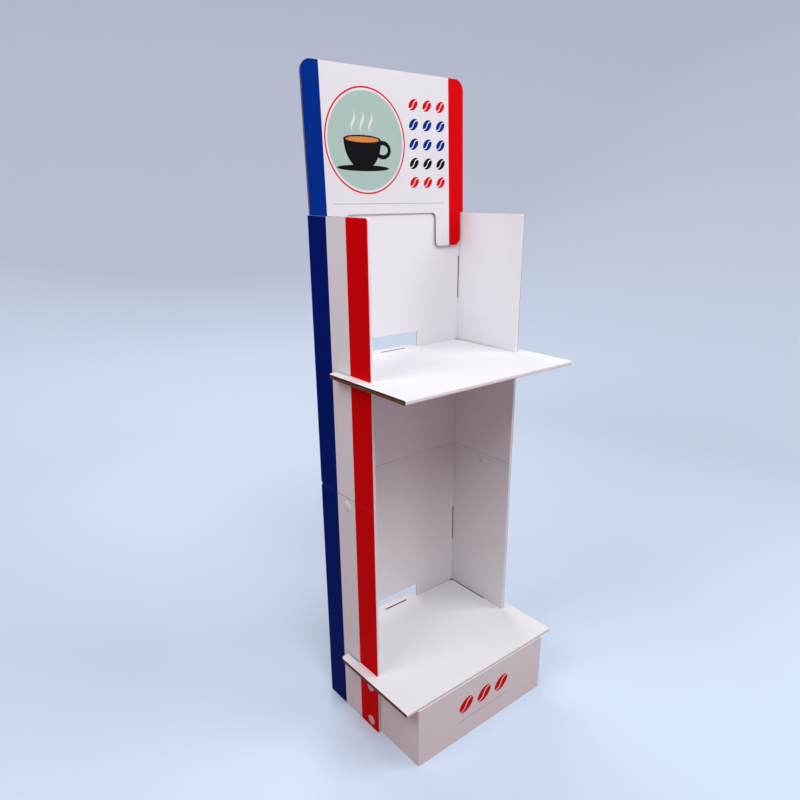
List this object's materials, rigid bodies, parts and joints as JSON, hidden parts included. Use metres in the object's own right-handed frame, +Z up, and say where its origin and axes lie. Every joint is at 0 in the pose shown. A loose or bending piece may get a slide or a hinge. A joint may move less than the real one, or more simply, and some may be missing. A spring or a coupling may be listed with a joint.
{
  "type": "cardboard display stand",
  "caption": "Free-standing cardboard display stand: open-fronted folded body, deep cross-lapped shelves with wings, rounded header card on legs and a boxed plinth.",
  "frame": {"origin": "middle of the stand's box on the floor", "axes": "+Z up, the open front faces -Y, +X to the right as seen from the front"},
  "size_m": [0.5, 0.3836, 1.531],
  "materials": {
    "printed_board": "glossy varnished white liner with printed colour bands and raw brown fluted edges",
    "white_board": "glossy varnished white liner with raw brown fluted edges",
    "white_plastic": "satin moulded white plastic"
  },
  "bodies": {
    "root": {"body_shell": "printed_board", "header": "printed_board", "upper_shelf": "white_board", "lower_shelf": "white_board", "plinth": "white_board", "rivet_sockets": "white_plastic", "rivet_pins": "white_plastic"}
  },
  "joints": []
}
